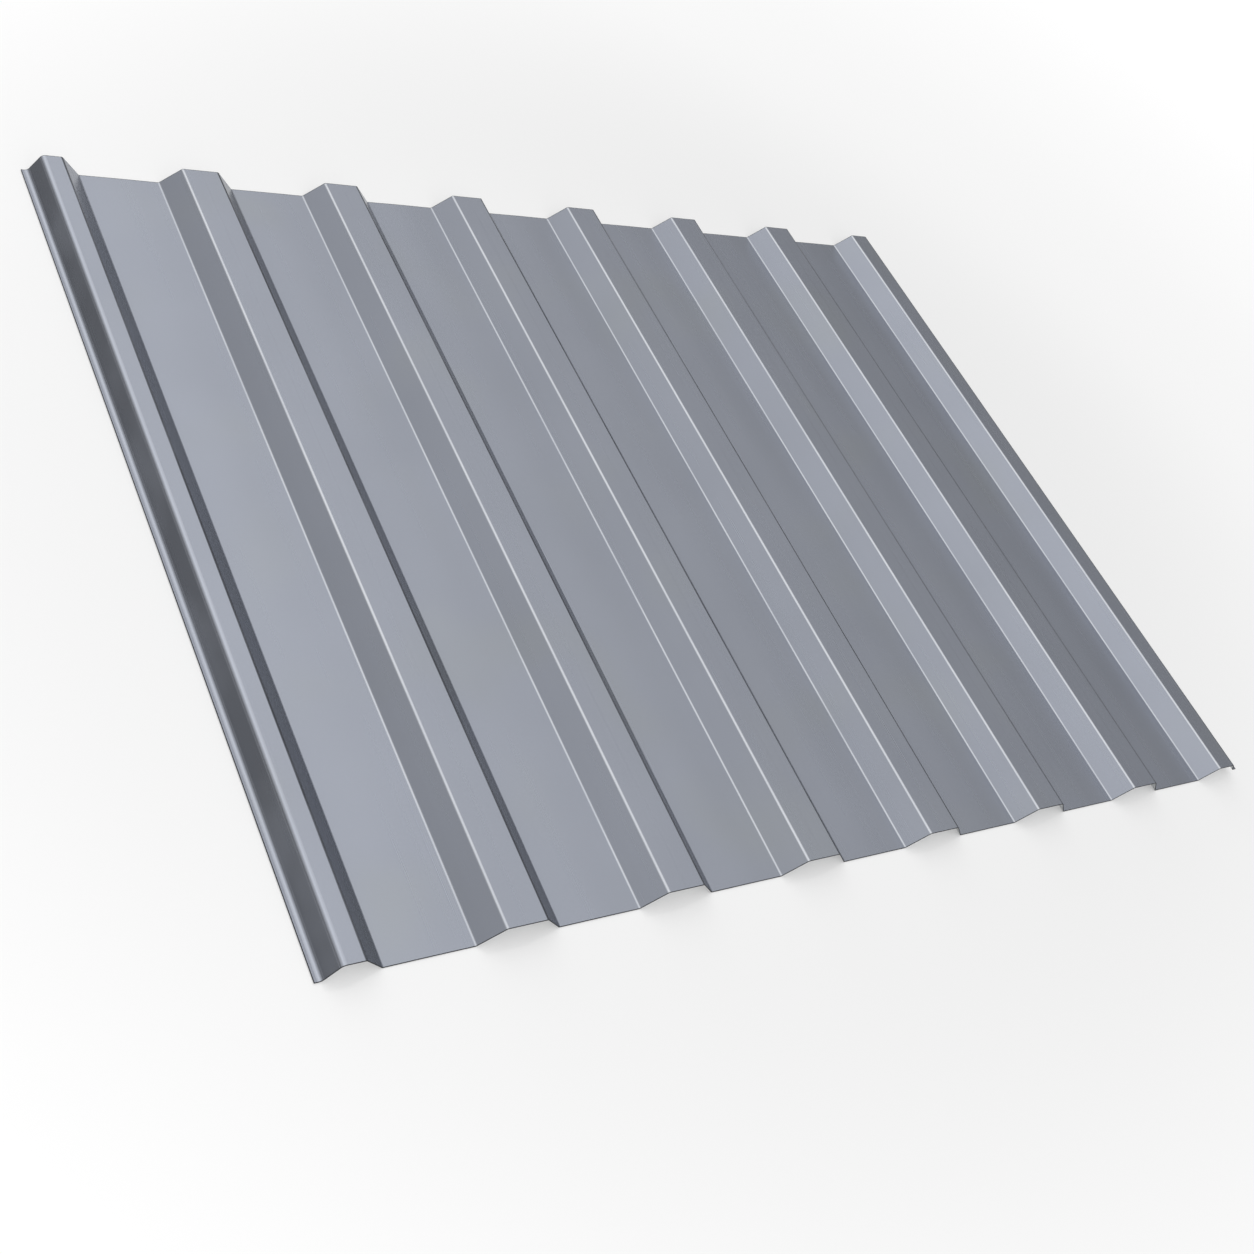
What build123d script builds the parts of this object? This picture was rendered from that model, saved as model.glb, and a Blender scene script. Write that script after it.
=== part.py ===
from build123d import *

import os

# A box-rib metal sheet: one strip of coated steel, roll-formed into ribs and flat pans and cut to length.
# X runs across the sheet, Y along its ribs and Z up, in millimetres. The origin is at the bottom centre,
# so the pans' undersides lie on Z = 0. Every size of the section is measured on the sheet's underside,
# between the sharp corners where two flats would meet before the bend rounds them.

# The repeating section
rib_count = 8
pitch = 152.0  # from one rib to the next, measured between the same edges of their crests
rib_height = 19.0  # from the pans' underside to the crests' underside
crest_width = 36.0
web_run = 19.0  # how far each sloping side runs across while it rises by the rib height
thickness = 0.7
bend_radius = 2.0  # inside radius of the roll-formed bends

# The left edge: a narrow rib with a steep outer side, which the next sheet's last rib laps over
first_crest_width = 18.0
outer_web_run = 10.0
outer_bend_radius = 4.5
flange_width = 6.0

# The right edge: a rib that ends in a short free leg with a turned-out lip
last_crest_width = 25.0
free_leg_run = 10.0
free_leg_drop = 10.5
lip_width = 6.0

# Along the ribs
sheet_length = 840.0


def edge_rib():
    """Corners of the narrow rib at the left edge, each with its inside bend radius, from the flange to the pan."""
    right = crest_width
    left = right - first_crest_width
    foot = left - outer_web_run
    return [
        (foot - flange_width, 0, 0),
        (foot, 0, outer_bend_radius),
        (left, rib_height, outer_bend_radius),
        (right, rib_height, bend_radius),
        (right + web_run, 0, bend_radius),
    ]


def full_rib(left):
    """Corners of a whole rib whose crest starts at left, from one pan to the next."""
    right = left + crest_width
    return [
        (left - web_run, 0, bend_radius),
        (left, rib_height, bend_radius),
        (right, rib_height, bend_radius),
        (right + web_run, 0, bend_radius),
    ]


def lap_rib(left):
    """Corners of the rib at the right edge, from its pan to the end of the lip."""
    right = left + last_crest_width
    leg_end = right + free_leg_run
    leg_foot = rib_height - free_leg_drop
    return [
        (left - web_run, 0, bend_radius),
        (left, rib_height, bend_radius),
        (right, rib_height, bend_radius),
        (leg_end, leg_foot, bend_radius),
        (leg_end + lip_width, leg_foot, 0),
    ]


def section_corners():
    """Every corner of the underside from left to right, with the sheet's width centred on X = 0."""
    corners = edge_rib()
    for rib in range(1, rib_count - 1):
        corners += full_rib(rib * pitch)
    corners += lap_rib((rib_count - 1) * pitch)
    middle = (corners[0][0] + corners[-1][0]) / 2
    return [(Vector(x - middle, 0, z), radius) for x, z, radius in corners]


def face_line(corners, height):
    """One face of the sheet as a line of flats and arcs, at a height above the underside along its normal."""
    points = [point for point, _ in corners]
    runs = [(after - before).normalized() for before, after in zip(points, points[1:])]
    ups = [Vector(-run.Z, 0, run.X) for run in runs]
    line = [points[0] + ups[0] * height]
    radii = []
    for (point, inside_radius), before, after in zip(corners[1:-1], ups, ups[1:]):
        line.append(point + (before + after) * (height / (1 + before.dot(after))))
        # A bend that turns the sheet upwards has its inside on the top face, one that turns it down underneath.
        turns_up = after.X < before.X
        depth = thickness - height if turns_up else height
        radii.append(inside_radius + depth)
    line.append(points[-1] + ups[-1] * height)
    return FilletPolyline(*line, radius=radii)


def profiled_sheet():
    """The whole sheet: its section between the two faces, extruded along the ribs."""
    corners = section_corners()
    underside = face_line(corners, 0)
    top = face_line(corners, thickness)
    section = make_face([
        *underside.edges(),
        Line(underside @ 1, top @ 1),
        *top.edges(),
        Line(top @ 0, underside @ 0),
    ])
    return extrude(section, amount=sheet_length / 2, dir=(0, 1, 0), both=True)


os.makedirs("parts", exist_ok=True)
export_step(profiled_sheet(), "parts/profiled_sheet.step")
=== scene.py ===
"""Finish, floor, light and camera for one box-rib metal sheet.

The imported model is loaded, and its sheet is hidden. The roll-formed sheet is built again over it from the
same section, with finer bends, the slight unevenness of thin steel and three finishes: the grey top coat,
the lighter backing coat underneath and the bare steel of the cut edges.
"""

import math

import bmesh
import bpy
import numpy as np
from bpy.props import FloatProperty, FloatVectorProperty, IntProperty, PointerProperty
from mathutils import Matrix, Vector


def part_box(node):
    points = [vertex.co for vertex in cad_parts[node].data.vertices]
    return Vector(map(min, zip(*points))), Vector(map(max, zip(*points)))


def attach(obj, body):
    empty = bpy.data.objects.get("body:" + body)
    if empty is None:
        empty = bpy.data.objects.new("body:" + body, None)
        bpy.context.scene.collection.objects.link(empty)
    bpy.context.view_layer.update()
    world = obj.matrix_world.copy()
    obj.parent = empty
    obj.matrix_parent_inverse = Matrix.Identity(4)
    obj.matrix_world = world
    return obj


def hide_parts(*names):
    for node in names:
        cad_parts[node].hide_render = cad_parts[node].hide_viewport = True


bl_info = {
    "name": "Box-rib metal sheet",
    "version": (1, 0, 0),
    "blender": (4, 5, 0),
    "location": "View3D > Sidebar > Sheet",
    "description": "Builds a roll-formed box-rib metal sheet with its coating, on a pale studio floor",
    "category": "Object",
}

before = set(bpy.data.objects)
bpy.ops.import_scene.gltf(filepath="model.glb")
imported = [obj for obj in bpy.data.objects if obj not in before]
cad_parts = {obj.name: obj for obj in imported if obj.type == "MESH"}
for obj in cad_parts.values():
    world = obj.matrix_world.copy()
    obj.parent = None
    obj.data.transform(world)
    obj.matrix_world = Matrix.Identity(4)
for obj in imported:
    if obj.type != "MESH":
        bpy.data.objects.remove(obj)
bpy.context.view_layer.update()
NODE = "profiled_sheet"
SHEET_LOW, SHEET_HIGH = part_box(NODE)


class SheetSection(bpy.types.PropertyGroup):
    """Sizes of the roll-formed section, measured on its underside between sharp corners"""

    rib_count: IntProperty(name="Ribs", description="Number of ribs across the sheet", default=8, min=3)
    crest_width: FloatProperty(
        name="Crest width", description="Flat top of a whole rib", default=0.036, unit="LENGTH"
    )
    web_run: FloatProperty(
        name="Web run", description="How far a sloping side runs across", default=0.019, unit="LENGTH"
    )
    thickness: FloatProperty(
        name="Thickness", description="Thickness of the steel", default=0.0007, unit="LENGTH"
    )
    bend_radius: FloatProperty(
        name="Bend radius", description="Inside radius of the bends", default=0.002, unit="LENGTH"
    )
    first_crest_width: FloatProperty(
        name="First crest width",
        description="Flat top of the left edge's rib",
        default=0.018,
        unit="LENGTH",
    )
    outer_web_run: FloatProperty(
        name="Outer web run", description="Run of the left edge's steep side", default=0.010, unit="LENGTH"
    )
    outer_bend_radius: FloatProperty(
        name="Outer bend radius",
        description="Inside radius of the steep side's bends",
        default=0.0045,
        unit="LENGTH",
    )
    flange_width: FloatProperty(
        name="Flange width", description="Flat strip along the left edge", default=0.006, unit="LENGTH"
    )
    flange_lift: FloatProperty(
        name="Flange lift",
        description="How far the flange's free edge springs up",
        default=0.00045,
        unit="LENGTH",
    )
    last_crest_width: FloatProperty(
        name="Last crest width",
        description="Flat top of the right edge's rib",
        default=0.025,
        unit="LENGTH",
    )
    free_leg_run: FloatProperty(
        name="Free leg run", description="Run of the right edge's short side", default=0.010, unit="LENGTH"
    )
    free_leg_drop: FloatProperty(
        name="Free leg drop",
        description="Drop of the right edge's short side",
        default=0.0105,
        unit="LENGTH",
    )
    lip_width: FloatProperty(
        name="Lip width", description="Turned-out lip along the right edge", default=0.006, unit="LENGTH"
    )
    grid_step: FloatProperty(
        name="Grid step", description="Longest mesh step across a flat", default=0.007, unit="LENGTH"
    )
    unevenness: FloatProperty(
        name="Unevenness",
        description="How far a wide flat swells between its bends",
        default=0.0003,
        unit="LENGTH",
    )


class SheetFinish(bpy.types.PropertyGroup):
    """Colours of the sheet's surfaces"""

    top_coat_cool: FloatVectorProperty(
        name="Top coat, cool patches",
        description="Grey coating of the weather side where it leans to blue",
        subtype="COLOR",
        default=(0.375, 0.399, 0.458),
    )
    top_coat_warm: FloatVectorProperty(
        name="Top coat, warm patches",
        description="Grey coating of the weather side where it leans to green",
        subtype="COLOR",
        default=(0.380, 0.404, 0.447),
    )
    # Painted highlight: a lighter colour along the rising folds, where the overhead light's reflection runs.
    painted_fold_highlight: FloatVectorProperty(
        name="Polished bend",
        description="Coating burnished by the rolls along the bends",
        subtype="COLOR",
        default=(0.55, 0.57, 0.61),
    )
    # Painted shade: a darker colour along the falling sides' crest folds, and less dark over the whole steep
    # side.
    painted_fold_shade: FloatVectorProperty(
        name="Dull bend",
        description="Coating dulled along the falling sides' crest folds, and less so on the steep side",
        subtype="COLOR",
        default=(0.11, 0.117, 0.134),
    )
    back_coat: FloatVectorProperty(
        name="Backing coat",
        description="Thin light coating underneath",
        subtype="COLOR",
        default=(0.60, 0.62, 0.63),
    )
    cut_edge: FloatVectorProperty(
        name="Cut edge",
        description="Sheared steel and zinc at the cut edges",
        subtype="COLOR",
        default=(0.045, 0.048, 0.055),
    )


class SheetStage(bpy.types.PropertyGroup):
    """Floor, light and camera"""

    floor_colour: FloatVectorProperty(
        name="Floor", description="Pale studio floor", subtype="COLOR", default=(0.6, 0.6, 0.6)
    )
    floor_glow: FloatProperty(
        name="Floor glow",
        description="Glow that brings the floor beside the sheet to near white",
        default=0.33,
    )
    far_floor_glow: FloatProperty(
        name="Far floor glow",
        description="Glow that the floor has where it is far from the sheet",
        default=0.85,
    )
    overhead_strength: FloatProperty(
        name="Overhead strength", description="Brightness of the overhead panel", default=1.184
    )
    overhead_angle: FloatProperty(
        name="Overhead angle",
        description="Where the overhead panel's middle is, negative to the left of straight up",
        default=math.radians(5),
        subtype="ANGLE",
    )
    overhead_half_width: FloatProperty(
        name="Overhead half width",
        description="Evenly bright half of the overhead panel",
        default=math.radians(7),
        subtype="ANGLE",
    )
    overhead_left_fade: FloatProperty(
        name="Overhead left fade",
        description="Soft left edge of the overhead panel",
        default=math.radians(46),
        subtype="ANGLE",
    )
    overhead_right_fade: FloatProperty(
        name="Overhead right fade",
        description="Soft right edge of the overhead panel",
        default=math.radians(72),
        subtype="ANGLE",
    )
    fill_strength: FloatProperty(
        name="Fill strength", description="Brightness of the panel low at the left", default=0.728
    )
    fill_angle: FloatProperty(
        name="Fill angle",
        description="Where the low panel's middle is, negative to the left of straight up",
        default=math.radians(-40),
        subtype="ANGLE",
    )
    fill_half_width: FloatProperty(
        name="Fill half width",
        description="Evenly bright half of the low panel",
        default=math.radians(5),
        subtype="ANGLE",
    )
    fill_fade: FloatProperty(
        name="Fill fade",
        description="Soft edges of the low panel",
        default=math.radians(45),
        subtype="ANGLE",
    )
    wall_tone: FloatProperty(name="Wall tone", description="Tone of the low studio wall", default=0.9)
    shaded_wall_tone: FloatProperty(
        name="Shaded wall tone",
        description="Tone of the wall's stretch that the steep side mirrors",
        default=0.2,
    )
    lens: FloatProperty(name="Lens", description="Focal length in millimetres", default=45.626)


def settings(context):
    """The scene's section, finish and stage."""
    return context.scene.sheet_section, context.scene.sheet_finish, context.scene.sheet_stage


# The section

ARC_STEPS = 6
EDGE_STEP = 0.0005  # keeps a bend's shading off the flat beside it, and is the bare strip beside a cut edge
ROW_STEP = 0.010  # longest mesh step along the ribs
HOLLOW_FOLD_HIGHLIGHT = 0.75  # the hollow side of a bend gets less painted highlight than its outer side
STEEP_SIDE = 1  # the second flat from the left, between the flange and the first crest
STEEP_SIDE_SHADE = -0.7  # the steep side gets painted shade all over, though less than a fold's
WIDE_FLAT = 0.078  # a flat as wide as a pan swells by the whole unevenness
SWELL_WAVES = (0.62, 0.37, 0.21, 0.13)  # lengths of the waves along a flat; the longer are the higher
SWELL_SEED = 11
RIM_ANGLE = math.radians(50)  # the cut edges' corners are sharper than this, and no step of a bend is
TOP_COAT, BACK_COAT, CUT_EDGE = 0, 1, 2  # the finishes' places among the mesh's materials


def rib_pitch(section):
    """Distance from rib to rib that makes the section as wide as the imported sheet."""
    edges = (
        section.flange_width + section.outer_web_run + section.first_crest_width - section.crest_width
        + section.last_crest_width + section.free_leg_run + section.lip_width
    )
    return (SHEET_HIGH.x - SHEET_LOW.x - edges) / (section.rib_count - 1)


def section_corners(section):
    """Every corner of the underside from left to right, each with its inside bend radius."""
    s = section
    height = SHEET_HIGH.z - SHEET_LOW.z - s.thickness
    pitch = rib_pitch(s)
    first_crest = s.crest_width - s.first_crest_width
    steep_foot = first_crest - s.outer_web_run
    corners = [
        (steep_foot - s.flange_width, s.flange_lift, 0),
        (steep_foot, 0, s.outer_bend_radius),
        (first_crest, height, s.outer_bend_radius),
        (s.crest_width, height, s.bend_radius),
        (s.crest_width + s.web_run, 0, s.bend_radius),
    ]
    for rib in range(1, s.rib_count):
        crest_start = rib * pitch
        corners += [(crest_start - s.web_run, 0, s.bend_radius), (crest_start, height, s.bend_radius)]
        if rib < s.rib_count - 1:
            crest_end = crest_start + s.crest_width
            corners += [(crest_end, height, s.bend_radius), (crest_end + s.web_run, 0, s.bend_radius)]
    last_crest_end = (s.rib_count - 1) * pitch + s.last_crest_width
    leg_foot = height - s.free_leg_drop
    corners += [
        (last_crest_end, height, s.bend_radius),
        (last_crest_end + s.free_leg_run, leg_foot, s.bend_radius),
        (last_crest_end + s.free_leg_run + s.lip_width, leg_foot, 0),
    ]
    shift = SHEET_LOW.x - corners[0][0]
    return [(Vector((x + shift, z)), radius) for x, z, radius in corners]


class Station:
    """One point across the underside, with its upward normal, its unevenness and the painted light on it."""

    def __init__(self, point, normal, room=0.0, mark=0.0):
        self.point = point
        self.normal = normal
        self.room = room  # the share of the unevenness that a flat has here
        self.mark = mark  # painted light on the coating: 1 painted highlight, 0 as coated and -1 painted shade


def fold_painted_light(section, inside, turns_up, rising):
    """Painted light on a fold: a painted highlight on a rising side, less where the bend is wide or hollow.

    On a falling side, painted shade on the fold at the crest, and the fold at the pan left as coated.
    """
    if rising:
        return (section.bend_radius / inside) ** 2 * (HOLLOW_FOLD_HIGHLIGHT if turns_up else 1)
    return 0.0 if turns_up else -1.0


def section_stations(section):
    """Points across the underside, flat by flat and bend by bend."""
    corners = section_corners(section)
    runs = [(b[0] - a[0]).normalized() for a, b in zip(corners, corners[1:])]
    stations = []
    start = corners[0][0]
    painted_light_before = 0.0
    for i, run in enumerate(runs):
        normal = Vector((-run.y, run.x))
        corner, inside = corners[i + 1]
        if i + 1 == len(runs):
            stations += flat_stations(start, corner, normal, (painted_light_before, 0.0, 0.0), section)
            break
        next_run = runs[i + 1]
        turn = abs(run.angle_signed(next_run))
        turns_up = next_run.y > run.y
        side = 1 if turns_up else -1
        radius = inside + (section.thickness if turns_up else 0)
        rising = max(run.y, next_run.y) > 0
        # A fold's painted highlight or painted shade, and the steep side's painted shade.
        mark = fold_painted_light(section, inside, turns_up, rising)
        flat_painted_light = STEEP_SIDE_SHADE if i == STEEP_SIDE else 0.0
        reach = radius * math.tan(turn / 2)
        end = corner - run * reach
        stations += flat_stations(start, end, normal, (painted_light_before, flat_painted_light, mark), section)
        centre = end + normal * radius * side
        for k in range(1, ARC_STEPS):
            turned = Matrix.Rotation(turn * k / ARC_STEPS * side, 2) @ normal
            stations.append(Station(centre - turned * radius * side, turned, mark=mark))
        start = corner + next_run * reach
        painted_light_before = mark
    return stations


def flat_stations(start, end, normal, painted_lights, section):
    """Points along a flat, close together at its ends. Its painted light is given at its start, on it and at
    its end.
    """
    length = (end - start).length
    along = (end - start) / length
    inner = length - 2 * EDGE_STEP
    steps = max(1, math.ceil(inner / section.grid_step))
    places = [EDGE_STEP + inner * k / steps for k in range(steps + 1)]
    # A narrow flat swells less, by the square of its width against a pan's.
    most = min(1.0, (length / WIDE_FLAT) ** 2)
    painted_light_before, flat_painted_light, painted_light_after = painted_lights
    flat = []
    for place in places:
        middle = math.sin(math.pi * place / length) ** 2
        flat.append(Station(start + along * place, normal, room=most * middle, mark=flat_painted_light))
    return [Station(start, normal, mark=painted_light_before), *flat, Station(end, normal, mark=painted_light_after)]


def swell(places, rows, section):
    """How far each point of the grid stands off its flat: slow waves along it, different in every flat."""
    rng = np.random.default_rng(SWELL_SEED)
    share = np.array([s.room for s in places])
    flat = np.cumsum(np.r_[0, (share[1:] == 0) & (share[:-1] > 0)])
    total = np.zeros((len(rows), len(places)))
    y = rows[:, None]
    for wave in SWELL_WAVES:
        phase = rng.uniform(0, 2 * math.pi, flat.max() + 1)[flat]
        size = rng.uniform(0.5, 1.0, flat.max() + 1)[flat] * wave
        total += size * np.sin(2 * math.pi * y / wave + phase)
    total = total / sum(SWELL_WAVES)
    return share * section.unevenness * (0.5 + 0.5 * total)


def sheet_rows():
    """Where the grid's rows are along the ribs, with one more beside each cut end."""
    length = SHEET_HIGH.y - SHEET_LOW.y
    rows = np.linspace(SHEET_LOW.y, SHEET_HIGH.y, math.ceil(length / ROW_STEP) + 1)
    return np.concatenate([rows[:1], rows[:1] + EDGE_STEP, rows[1:-1], rows[-1:] - EDGE_STEP, rows[-1:]])


def sheet_vertices(places, rows, section):
    """The grid's points row by row, the underside's first and then the top face's."""
    stand_off = swell(places, rows, section)
    half_way_up = (SHEET_HIGH.z - SHEET_LOW.z) / 2
    vertices = []
    for face_height in (0.0, section.thickness):
        for j, y in enumerate(rows):
            for i, station in enumerate(places):
                # Pans swell upwards and crests downwards, so the sheet stays between its two levels.
                sign = -1 if station.point.y > half_way_up else 1
                p = station.point + station.normal * (face_height + sign * stand_off[j, i])
                vertices.append((p.x, y, p.y + SHEET_LOW.z))
    return vertices


def sheet_mesh(section):
    """The sheet as one closed mesh: top face, underside and the strip of the cut edges between them."""
    places = section_stations(section)
    rows = sheet_rows()
    row_count = len(rows)
    across = len(places)
    vertices = sheet_vertices(places, rows, section)
    under = np.arange(across * row_count).reshape(row_count, across)
    top = under + across * row_count

    def quads(a, b, c, d):
        return np.stack([a, b, c, d], -1).reshape(-1, 4).tolist()

    faces = quads(top[:-1, :-1], top[:-1, 1:], top[1:, 1:], top[1:, :-1])
    faces += quads(under[:-1, :-1], under[1:, :-1], under[1:, 1:], under[:-1, 1:])
    bare = np.ones((row_count - 1, across - 1), bool)
    bare[1:-1, 1:-1] = False
    coats = [np.where(bare, CUT_EDGE, coat).ravel() for coat in (TOP_COAT, BACK_COAT)]
    finish = np.concatenate(coats).tolist()
    rim = quads(under[0, :-1], under[0, 1:], top[0, 1:], top[0, :-1])
    rim += quads(under[-1, 1:], under[-1, :-1], top[-1, :-1], top[-1, 1:])
    rim += quads(under[1:, 0], under[:-1, 0], top[:-1, 0], top[1:, 0])
    rim += quads(under[:-1, -1], under[1:, -1], top[1:, -1], top[:-1, -1])
    faces += rim
    finish += [CUT_EDGE] * len(rim)
    mesh = bpy.data.meshes.new("formed_sheet")
    mesh.from_pydata(vertices, [], faces)
    mesh.polygons.foreach_set("material_index", finish)
    mesh.shade_smooth()
    # Each point's painted highlight or painted shade, for the top coat.
    mark = mesh.attributes.new("painted_fold_light", "FLOAT", "POINT")
    mark.data.foreach_set("value", np.tile([s.mark for s in places], 2 * row_count))
    return mesh


def sharpen_rim(mesh):
    """Marks the corners of the cut edges as sharp, so that only the bends shade smoothly."""
    bm = bmesh.new()
    bm.from_mesh(mesh)
    for edge in bm.edges:
        if edge.calc_face_angle(0) > RIM_ANGLE:
            edge.smooth = False
    bm.to_mesh(mesh)
    bm.free()


# Shader nodes

NOISE_MIDDLE = 0.5
NOISE_LOW, NOISE_HIGH = 0.3, 0.7  # most of a noise texture lies between these
TINT_START, TINT_FULL = 0.48, 0.8  # the noise values at which the warm patches begin and are full
TINT_OFFSET = (3.1, 7.7, 1.3)  # keeps the patches of tint apart from those of tone
PAINTED_LIGHT_LOW, PAINTED_LIGHT_HIGH = 0.3, 0.6  # the noise values at which the painted fold light is weakest and full
WEAKEST_PAINTED_LIGHT = 0.7
WHITE = (1, 1, 1, 1)


def add_node(tree, kind, inputs=None, **options):
    """A new node of a kind, with its options set and its inputs set or linked."""
    node = tree.nodes.new("ShaderNode" + kind)
    for name, value in options.items():
        setattr(node, name, value)
    for name, value in (inputs or {}).items():
        if isinstance(value, bpy.types.NodeSocket):
            tree.links.new(value, node.inputs[name])
        else:
            node.inputs[name].default_value = value
    return node


def maths(tree, operation, *values):
    """The result of one Math node on numbers or sockets."""
    return add_node(tree, "Math", dict(enumerate(values)), operation=operation).outputs[0]


def ramp(tree, value, low, high, out_low=0.0, out_high=1.0):
    """A value carried smoothly from one range to another and held at its ends."""
    inputs = {"Value": value, "From Min": low, "From Max": high, "To Min": out_low, "To Max": out_high}
    return add_node(tree, "MapRange", inputs, interpolation_type="SMOOTHSTEP").outputs["Result"]


def new_group(name, inputs, outputs):
    """A node group whose inputs and outputs are numbers, with its input sockets and its output node."""
    group = bpy.data.node_groups.new(name, "ShaderNodeTree")
    for socket_name, default in inputs.items():
        socket = group.interface.new_socket(socket_name, in_out="INPUT", socket_type="NodeSocketFloat")
        socket.default_value = default
    for socket_name in outputs:
        group.interface.new_socket(socket_name, in_out="OUTPUT", socket_type="NodeSocketFloat")
    given = group.nodes.new("NodeGroupInput").outputs
    return group, given, group.nodes.new("NodeGroupOutput")


def use_group(tree, group, **values):
    """The outputs of a node group placed in a material, with its inputs set by their names."""
    node = add_node(tree, "Group", node_tree=group)
    for name, value in values.items():
        node.inputs[name.replace("_", " ").capitalize()].default_value = value
    return node.outputs


def place_along_sheet(tree, across, along):
    """Object coordinates that repeat a pattern at one rate across the sheet and another along its ribs."""
    place = add_node(tree, "TexCoord").outputs["Object"]
    scale = add_node(tree, "CombineXYZ", {"X": across, "Y": along, "Z": across}).outputs[0]
    return add_node(tree, "VectorMath", {0: place, 1: scale}, operation="MULTIPLY").outputs[0]


def coat_mottle_group():
    """Broad soft patches of slightly different tone, as a coil coating has."""
    group, given, out = new_group("coat_mottle", {"Patch size": 0.06, "Depth": 1.0}, ("Tone", "Tint"))
    repeat = maths(group, "DIVIDE", 1.0, given["Patch size"])
    place = add_node(group, "TexCoord").outputs["Object"]
    soft = {"Vector": place, "Scale": repeat, "Detail": 2.0, "Roughness": 0.45}
    broad = add_node(group, "TexNoise", soft).outputs["Fac"]
    tone = maths(group, "SUBTRACT", broad, NOISE_MIDDLE)
    group.links.new(maths(group, "MULTIPLY", tone, given["Depth"]), out.inputs["Tone"])
    moved = add_node(group, "VectorMath", {0: place, 1: TINT_OFFSET}, operation="ADD").outputs[0]
    second = add_node(group, "TexNoise", {"Vector": moved, "Scale": repeat, "Detail": 1.0}).outputs["Fac"]
    group.links.new(ramp(group, second, TINT_START, TINT_FULL), out.inputs["Tint"])
    return group


def roll_lines_group():
    """Fine long lines that the forming rolls leave along the ribs."""
    group, given, out = new_group("roll_lines", {"Line spacing": 0.004, "Line length": 0.5}, ("Line",))
    across = maths(group, "DIVIDE", 1.0, given["Line spacing"])
    along = maths(group, "DIVIDE", 1.0, given["Line length"])
    place = place_along_sheet(group, across, along)
    noise = add_node(group, "TexNoise", {"Vector": place, "Scale": 1.0, "Detail": 3.0, "Roughness": 0.6})
    group.links.new(noise.outputs["Fac"], out.inputs["Line"])
    return group


def coat_grain_group():
    """The fine pebbled surface of a baked coating, as a height."""
    group, given, out = new_group("coat_grain", {"Grain size": 0.0012}, ("Height",))
    place = add_node(group, "TexCoord").outputs["Object"]
    repeat = maths(group, "DIVIDE", 1.0, given["Grain size"])
    grain = add_node(group, "TexNoise", {"Vector": place, "Scale": repeat, "Detail": 1.0, "Roughness": 0.4})
    group.links.new(grain.outputs["Fac"], out.inputs["Height"])
    return group


def painted_light_group():
    """Where the folds get painted highlight or painted shade, broken up a little along the ribs."""
    group, given, out = new_group("painted_fold_light", {"Break size": 0.05}, ("Painted highlight", "Painted shade"))
    mark = add_node(group, "Attribute", attribute_name="painted_fold_light").outputs["Fac"]
    repeat = maths(group, "DIVIDE", 1.0, given["Break size"])
    place = place_along_sheet(group, maths(group, "MULTIPLY", repeat, 2.0), repeat)
    noise = add_node(group, "TexNoise", {"Vector": place, "Scale": 1.0, "Detail": 2.0}).outputs["Fac"]
    uneven = ramp(group, noise, PAINTED_LIGHT_LOW, PAINTED_LIGHT_HIGH, WEAKEST_PAINTED_LIGHT, 1.0)
    painted_highlight = maths(group, "MAXIMUM", mark, 0.0)
    painted_shade = maths(group, "MAXIMUM", maths(group, "MULTIPLY", mark, -1.0), 0.0)
    group.links.new(maths(group, "MULTIPLY", painted_highlight, uneven), out.inputs["Painted highlight"])
    group.links.new(maths(group, "MULTIPLY", painted_shade, uneven), out.inputs["Painted shade"])
    return group


# Materials

TOP_ROUGHNESS = (0.255, 0.275)  # from the noise's low values along the roll lines to its high ones
TOP_LINE_TONE = 0.02
TOP_LINE_RELIEF = 0.5  # against the grain's
PAINTED_HIGHLIGHT_ROUGHNESS = -0.07  # added where the fold highlight is painted
BACK_ROUGHNESS = (0.38, 0.48)
BACK_GAIN = 0.96  # leaves room for the lines' tone, which is 0.04 in the middle
BACK_LINE_TONE = 0.08
BACK_WARM = 0.97  # the warm patches' colour against the rest
EDGE_ROUGHNESS = (0.6, 0.75)
EDGE_WARM = 0.8
TORN_SCALE = 900.0  # repeats of the sheared steel's grain in a metre


def new_material(name):
    """An empty material, with its node tree and its output node."""
    material = bpy.data.materials.new(name)
    material.use_nodes = True
    tree = material.node_tree
    tree.nodes.clear()
    return material, tree, tree.nodes.new("ShaderNodeOutputMaterial")


def blend_colours(tree, share, low, high):
    """A colour between two, by a share. Each colour is a socket or three numbers."""
    node = add_node(tree, "Mix", {"Factor": share}, data_type="RGBA")
    # A Mix node has one pair of inputs for each type of data. Its colours are the seventh and the eighth.
    for socket, colour in zip((node.inputs[6], node.inputs[7]), (low, high)):
        if isinstance(colour, bpy.types.NodeSocket):
            tree.links.new(colour, socket)
        else:
            socket.default_value = (*colour, 1)
    return node.outputs[2]


def brighten(tree, colour, gain):
    """A colour times a number that changes over the surface."""
    return add_node(tree, "VectorMath", {0: colour, "Scale": gain}, operation="SCALE").outputs[0]


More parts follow.
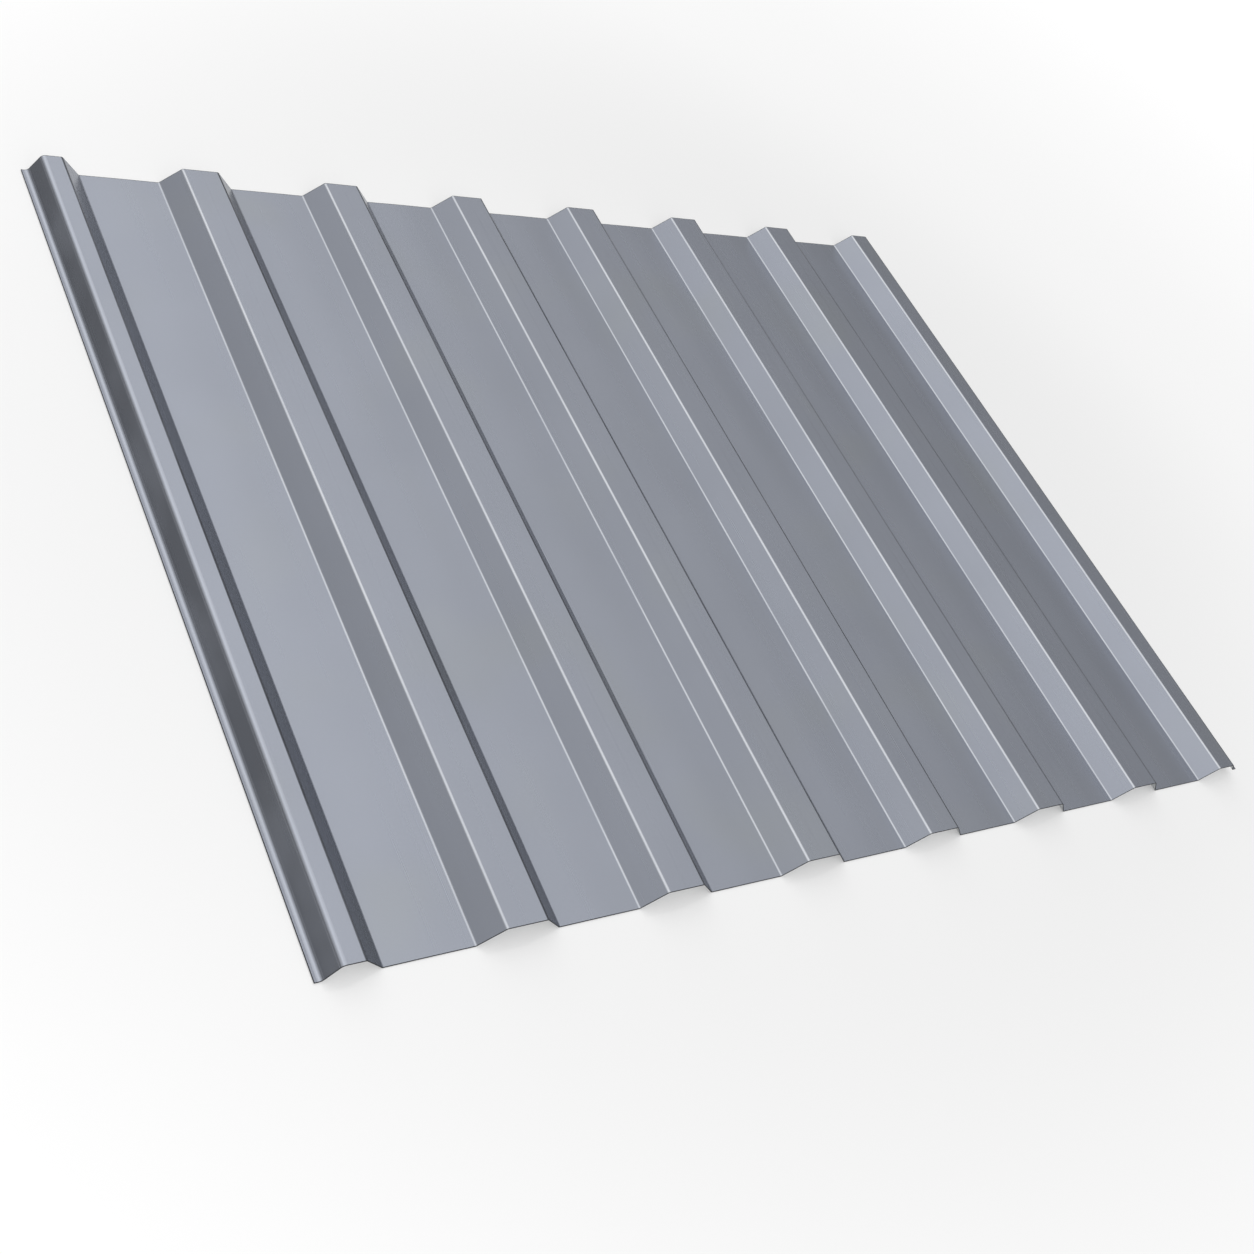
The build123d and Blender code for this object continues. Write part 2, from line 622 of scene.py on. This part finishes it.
def top_coat_material(finish, groups):
    """Satin grey coating with a metallic pigment."""
    material, tree, output = new_material("grey_top_coat")
    mottle = use_group(tree, groups["mottle"], patch_size=0.11, depth=0.10)
    lines = use_group(tree, groups["lines"], line_spacing=0.005, line_length=0.7)["Line"]
    grain = use_group(tree, groups["grain"], grain_size=0.0014)["Height"]
    painted_lights = use_group(tree, groups["painted_lights"], break_size=0.09)
    colour = blend_colours(tree, mottle["Tint"], finish.top_coat_cool, finish.top_coat_warm)
    # Painted highlight along the rising folds, then painted shade along the falling crest folds and over the
    # steep side.
    colour = blend_colours(tree, painted_lights["Painted highlight"], colour, finish.painted_fold_highlight)
    colour = blend_colours(tree, painted_lights["Painted shade"], colour, finish.painted_fold_shade)
    line_tone = maths(tree, "MULTIPLY", maths(tree, "SUBTRACT", lines, NOISE_MIDDLE), TOP_LINE_TONE)
    gain = maths(tree, "ADD", maths(tree, "ADD", 1.0, mottle["Tone"]), line_tone)
    line_roughness = ramp(tree, lines, NOISE_LOW, NOISE_HIGH, *TOP_ROUGHNESS)
    smoothing = maths(tree, "MULTIPLY", painted_lights["Painted highlight"], PAINTED_HIGHLIGHT_ROUGHNESS)
    rough = maths(tree, "ADD", line_roughness, smoothing)
    height = maths(tree, "ADD", grain, maths(tree, "MULTIPLY", lines, TOP_LINE_RELIEF))
    bump = add_node(tree, "Bump", {"Strength": 0.05, "Distance": 0.00002, "Height": height})
    shader = add_node(tree, "BsdfPrincipled", {
        "Base Color": brighten(tree, colour, gain),
        "Metallic": 0.87,
        "Roughness": rough,
        "Specular Tint": (0.8, 0.8, 0.8, 1),
        "Normal": bump.outputs["Normal"],
    })
    tree.links.new(shader.outputs[0], output.inputs[0])
    return material


def back_coat_material(finish, groups):
    """Thin, flat and lighter backing coat."""
    material, tree, output = new_material("backing_coat")
    mottle = use_group(tree, groups["mottle"], patch_size=0.05, depth=0.16)
    lines = use_group(tree, groups["lines"], line_spacing=0.003, line_length=0.4)["Line"]
    grain = use_group(tree, groups["grain"], grain_size=0.0016)["Height"]
    line_tone = maths(tree, "MULTIPLY", lines, BACK_LINE_TONE)
    gain = maths(tree, "ADD", maths(tree, "ADD", BACK_GAIN, mottle["Tone"]), line_tone)
    colour = blend_colours(tree, mottle["Tint"], finish.back_coat, [BACK_WARM * c for c in finish.back_coat])
    bump = add_node(tree, "Bump", {"Strength": 0.2, "Distance": 0.00003, "Height": grain})
    shader = add_node(tree, "BsdfPrincipled", {
        "Base Color": brighten(tree, colour, gain),
        "Metallic": 0.6,
        "Roughness": ramp(tree, lines, NOISE_LOW, NOISE_HIGH, *BACK_ROUGHNESS),
        "Normal": bump.outputs["Normal"],
    })
    tree.links.new(shader.outputs[0], output.inputs[0])
    return material


def cut_edge_material(finish, groups):
    """Sheared steel between the coats, dark and finely torn."""
    material, tree, output = new_material("sheared_edge")
    place = add_node(tree, "TexCoord").outputs["Object"]
    torn = add_node(tree, "TexNoise", {"Vector": place, "Scale": TORN_SCALE, "Detail": 2.0}).outputs["Fac"]
    mottle = use_group(tree, groups["mottle"], patch_size=0.02, depth=0.3)
    bump = add_node(tree, "Bump", {"Strength": 0.4, "Distance": 0.00005, "Height": torn})
    colour = blend_colours(tree, mottle["Tint"], finish.cut_edge, [EDGE_WARM * c for c in finish.cut_edge])
    shader = add_node(tree, "BsdfPrincipled", {
        "Base Color": brighten(tree, colour, maths(tree, "ADD", 1.0, mottle["Tone"])),
        "Metallic": 0.1,
        "Roughness": ramp(tree, torn, NOISE_LOW, NOISE_HIGH, *EDGE_ROUGHNESS),
        "Specular IOR Level": 0.25,
        "Normal": bump.outputs["Normal"],
    })
    tree.links.new(shader.outputs[0], output.inputs[0])
    return material


class SHEET_OT_formed_sheet(bpy.types.Operator):
    """Build the roll-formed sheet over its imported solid, with its three finishes"""

    bl_idname = "sheet.formed_sheet"
    bl_label = "Formed sheet"

    def execute(self, context):
        section, finish, _ = settings(context)
        mesh = sheet_mesh(section)
        sharpen_rim(mesh)
        groups = {
            "mottle": coat_mottle_group(),
            "lines": roll_lines_group(),
            "grain": coat_grain_group(),
            "painted_lights": painted_light_group(),
        }
        # They are appended in the order of TOP_COAT, BACK_COAT and CUT_EDGE.
        for make in (top_coat_material, back_coat_material, cut_edge_material):
            mesh.materials.append(make(finish, groups))
        sheet = bpy.data.objects.new("formed_sheet", mesh)
        context.scene.collection.objects.link(sheet)
        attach(sheet, "root")
        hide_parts(NODE)
        return {"FINISHED"}


# Floor, light and camera

FLOOR_REACH = 40.0  # from the sheet's middle to the floor's edges
FLOOR_GAP = 0.0002  # keeps the floor clear of the pans' undersides
LACQUER_ROUGHNESS = 0.12
LACQUER_IOR = 1.35
GLOW_START = 0.5  # how far from the sheet's middle the floor's glow begins to rise
NEAR_GLOW_END = 1.1
FAR_GLOW_END = 2.8
NEAR_RISE = 0.09  # how much more the floor glows a step away from the sheet than right beside it
WALL_TOP = math.sin(math.radians(7))  # the sine of its height above the horizon, as the next one is
WALL_FADE_TOP = math.sin(math.radians(16))
SHADED_WAY = (-0.75, 0.66, 0)  # to the left and the rear, which the steep side mirrors
SHADE_START, SHADE_FULL = 0.5, 0.87  # cosines of the angles from that way where the shade begins and is full
SENSOR_WIDTH = 36  # millimetres
CAMERA_PLACE = (-1.01407, -0.80167, 0.97097)
CAMERA_RIGHT = (0.798179, -0.410465, 0.440940)
CAMERA_DOWN = (-0.076346, -0.794970, -0.601826)
CAMERA_FORWARD = (0.597563, 0.446701, -0.665866)


def seen_directly(tree):
    """1 for the rays that show the studio itself: to the camera, in gloss and through glass."""
    path = add_node(tree, "LightPath").outputs
    seen = maths(tree, "MAXIMUM", path["Is Camera Ray"], path["Is Glossy Ray"])
    return maths(tree, "MAXIMUM", seen, path["Is Transmission Ray"])


def floor_glow(tree, stage):
    """The floor's glow: even beside the sheet, and more far away, where the lacquer lets less through."""
    place = add_node(tree, "TexCoord").outputs["Object"]
    distance = add_node(tree, "VectorMath", {0: place}, operation="LENGTH").outputs["Value"]
    near_level = stage.floor_glow + NEAR_RISE
    near = ramp(tree, distance, GLOW_START, NEAR_GLOW_END, stage.floor_glow, near_level)
    far_rise = stage.far_floor_glow - stage.floor_glow - NEAR_RISE
    far = ramp(tree, distance, GLOW_START, FAR_GLOW_END, 0.0, far_rise)
    return maths(tree, "ADD", near, far)


def floor_material(stage):
    """A pale lacquered floor that takes the sheet's shadow, and glows under its lacquer where it is seen."""
    material, tree, output = new_material("studio_floor")
    glow = maths(tree, "MULTIPLY", seen_directly(tree), floor_glow(tree, stage))
    shader = add_node(tree, "BsdfPrincipled", {
        "Base Color": (*stage.floor_colour, 1),
        "Roughness": LACQUER_ROUGHNESS,
        "IOR": LACQUER_IOR,
        "Coat Weight": 1.0,
        "Coat Roughness": LACQUER_ROUGHNESS,
        "Coat IOR": LACQUER_IOR,
        "Emission Color": WHITE,
        "Emission Strength": glow,
    })
    tree.links.new(shader.outputs[0], output.inputs[0])
    return material


def soft_panel(tree, angle, centre, half_width, left_fade, right_fade, strength):
    """The brightness of a light panel that runs along the ribs, by the angle across them from overhead."""
    left = centre - half_width
    right = centre + half_width
    from_left = ramp(tree, angle, left - left_fade, left, 0.0, strength)
    from_right = ramp(tree, angle, right, right + right_fade, 1.0, 0.0)
    return maths(tree, "MULTIPLY", from_left, from_right)


def studio_wall(tree, facing, rise, stage):
    """A low pale wall all round, shaded one way. It is seen and mirrored but gives no other light."""
    low = ramp(tree, rise, WALL_TOP, WALL_FADE_TOP, 1.0, 0.0)
    dot = add_node(tree, "VectorMath", {0: facing, 1: SHADED_WAY}, operation="DOT_PRODUCT")
    tone = ramp(tree, dot.outputs["Value"], SHADE_START, SHADE_FULL, stage.wall_tone, stage.shaded_wall_tone)
    return maths(tree, "MULTIPLY", maths(tree, "MULTIPLY", low, tone), seen_directly(tree))


def studio_world(stage):
    """Two soft light panels along the ribs, one overhead and one low at the left, and a low wall."""
    world = bpy.data.worlds.new("soft_panels")
    world.use_nodes = True
    tree = world.node_tree
    tree.nodes.clear()
    facing = add_node(tree, "TexCoord").outputs["Generated"]
    split = add_node(tree, "SeparateXYZ", {"Vector": facing})
    angle = maths(tree, "ARCTAN2", split.outputs["X"], split.outputs["Z"])
    overhead = soft_panel(
        tree, angle, stage.overhead_angle, stage.overhead_half_width,
        stage.overhead_left_fade, stage.overhead_right_fade, stage.overhead_strength,
    )
    fill = soft_panel(
        tree, angle, stage.fill_angle, stage.fill_half_width,
        stage.fill_fade, stage.fill_fade, stage.fill_strength,
    )
    wall = studio_wall(tree, facing, split.outputs["Z"], stage)
    strength = maths(tree, "MAXIMUM", maths(tree, "ADD", overhead, fill), wall)
    background = add_node(tree, "Background", {"Color": WHITE, "Strength": strength})
    output = tree.nodes.new("ShaderNodeOutputWorld")
    tree.links.new(background.outputs[0], output.inputs[0])
    return world


def studio_floor(stage):
    """One wide flat square just below the sheet."""
    mesh = bpy.data.meshes.new("floor")
    r = FLOOR_REACH
    mesh.from_pydata([(-r, -r, 0), (r, -r, 0), (r, r, 0), (-r, r, 0)], [], [(0, 1, 2, 3)])
    mesh.materials.append(floor_material(stage))
    floor = bpy.data.objects.new("floor", mesh)
    floor.location.z = SHEET_LOW.z - FLOOR_GAP
    return floor


def studio_camera(stage):
    """The camera, beyond the sheet's near left corner and looking down across it."""
    camera_data = bpy.data.cameras.new("camera")
    camera_data.sensor_width = SENSOR_WIDTH
    camera_data.lens = stage.lens
    camera = bpy.data.objects.new("camera", camera_data)
    axes = Matrix((CAMERA_RIGHT, -Vector(CAMERA_DOWN), -Vector(CAMERA_FORWARD))).transposed()
    camera.matrix_world = Matrix.Translation(CAMERA_PLACE) @ axes.to_4x4()
    return camera


class SHEET_OT_stage(bpy.types.Operator):
    """Lay the floor, light the sheet with two soft panels and place the camera"""

    bl_idname = "sheet.stage"
    bl_label = "Stage"

    def execute(self, context):
        _, _, stage = settings(context)
        floor = studio_floor(stage)
        context.scene.collection.objects.link(floor)
        context.scene.world = studio_world(stage)
        camera = studio_camera(stage)
        context.scene.collection.objects.link(camera)
        context.scene.camera = camera
        context.scene.view_settings.view_transform = "Standard"
        return {"FINISHED"}


class SHEET_PT_panel(bpy.types.Panel):
    """Lists the sheet's operators"""

    bl_idname = "SHEET_PT_panel"
    bl_label = "Box-rib sheet"
    bl_space_type = "VIEW_3D"
    bl_region_type = "UI"
    bl_category = "Sheet"

    def draw(self, context):
        for operator in OPERATORS:
            self.layout.operator(operator.bl_idname)


GROUPS = {"sheet_section": SheetSection, "sheet_finish": SheetFinish, "sheet_stage": SheetStage}
OPERATORS = (SHEET_OT_formed_sheet, SHEET_OT_stage)


def register():
    for cls in (*GROUPS.values(), *OPERATORS, SHEET_PT_panel):
        bpy.utils.register_class(cls)
    for name, group in GROUPS.items():
        setattr(bpy.types.Scene, name, PointerProperty(type=group))


def unregister():
    for name in GROUPS:
        delattr(bpy.types.Scene, name)
    for cls in reversed((*GROUPS.values(), *OPERATORS, SHEET_PT_panel)):
        bpy.utils.unregister_class(cls)


def main():
    register()
    bpy.ops.sheet.formed_sheet()
    bpy.ops.sheet.stage()


if __name__ == "__main__":
    main()
